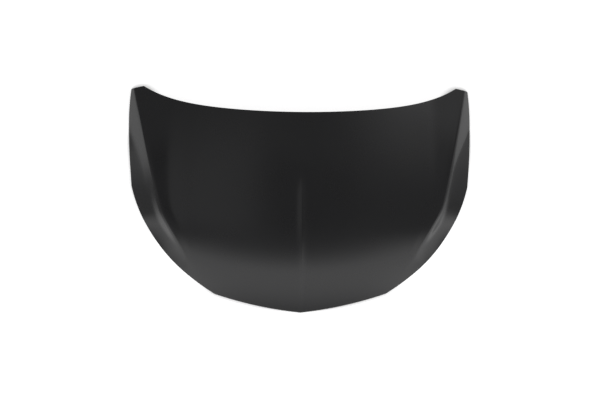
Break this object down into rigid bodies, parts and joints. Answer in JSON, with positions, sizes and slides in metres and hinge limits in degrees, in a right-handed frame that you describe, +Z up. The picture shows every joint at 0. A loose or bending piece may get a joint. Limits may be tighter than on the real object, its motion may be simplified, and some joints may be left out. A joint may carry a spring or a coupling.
{
  "type": "car bonnet",
  "caption": "Steel car bonnet in black primer: crowned outer skin with shoulder creases, hemmed round a pressed inner panel with hinge seats and a striker loop.",
  "frame": {"origin": "under the middle of the bonnet, on the plane that it rests on", "axes": "+X across the car, -Y towards the nose, +Y towards the windscreen, +Z up through the outer face"},
  "size_m": [1.4582, 0.9596, 0.1263],
  "materials": {
    "e_coat_outer": "semi-gloss black electro-dipped primer on the outer skin",
    "e_coat_inner": "satin black electro-dipped primer on the inner panel",
    "e_coat_parts": "black electro-dipped primer on reinforcements, nuts and striker",
    "mastic": "cured grey-black anti-flutter mastic"
  },
  "bodies": {
    "root": {"outer_skin": "e_coat_outer", "inner_panel": "e_coat_inner", "hinge_reinforcement_left": "e_coat_parts", "hinge_reinforcement_right": "e_coat_parts", "hinge_weld_nut_left_front": "e_coat_parts", "hinge_weld_nut_left_rear": "e_coat_parts", "hinge_weld_nut_right_front": "e_coat_parts", "hinge_weld_nut_right_rear": "e_coat_parts", "latch_reinforcement": "e_coat_parts", "striker_plate": "e_coat_parts", "striker_loop": "e_coat_parts", "mastic_bead_1": "mastic", "mastic_bead_2": "mastic", "mastic_bead_3": "mastic", "mastic_bead_4": "mastic", "mastic_bead_5": "mastic", "mastic_bead_6": "mastic", "mastic_bead_7": "mastic", "mastic_bead_8": "mastic", "mastic_bead_9": "mastic", "mastic_bead_10": "mastic", "mastic_bead_11": "mastic", "mastic_bead_12": "mastic"}
  },
  "joints": []
}
